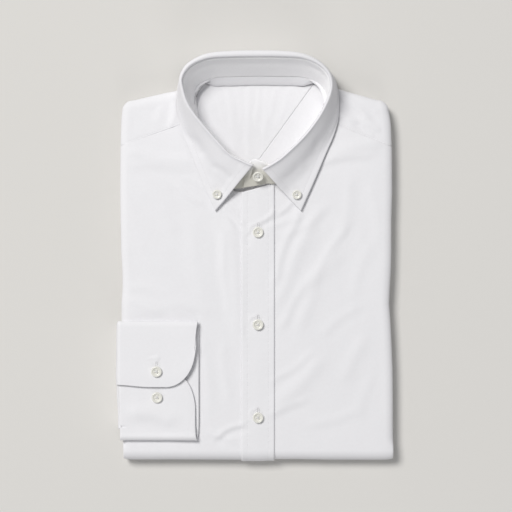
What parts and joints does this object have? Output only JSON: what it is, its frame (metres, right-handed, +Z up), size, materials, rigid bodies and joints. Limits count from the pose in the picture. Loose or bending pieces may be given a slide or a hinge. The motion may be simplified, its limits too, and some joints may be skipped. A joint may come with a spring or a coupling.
{
  "type": "folded dress shirt",
  "caption": "Long-sleeved dress shirt with a button-down collar, folded flat with its front up, collar standing and one cuff laid over the front.",
  "frame": {"origin": "middle of the outline seen from above, on the surface that the shirt lies on", "axes": "+Z up, away from that surface; +Y towards the collar; +X towards the wearer's left side"},
  "size_m": [0.267, 0.3924, 0.0503],
  "materials": {
    "shirting": "white cotton shirting, fine plain weave, pressed",
    "button": "cream, four holes, softly polished rim"
  },
  "bodies": {
    "root": {"front_right": "shirting", "front_left": "shirting", "placket": "shirting", "yoke": "shirting", "folded_layers": "shirting", "yoke_lining_right": "shirting", "yoke_lining_left": "shirting", "neck_strip": "shirting", "collar_leaf": "shirting", "collar_stand": "shirting", "cuff_right": "shirting", "sleeve_right": "shirting", "button_front_1": "button", "button_front_2": "button", "button_front_3": "button", "button_stand": "button", "button_point_right": "button", "button_point_left": "button", "button_cuff_1": "button", "button_cuff_2": "button"}
  },
  "joints": []
}
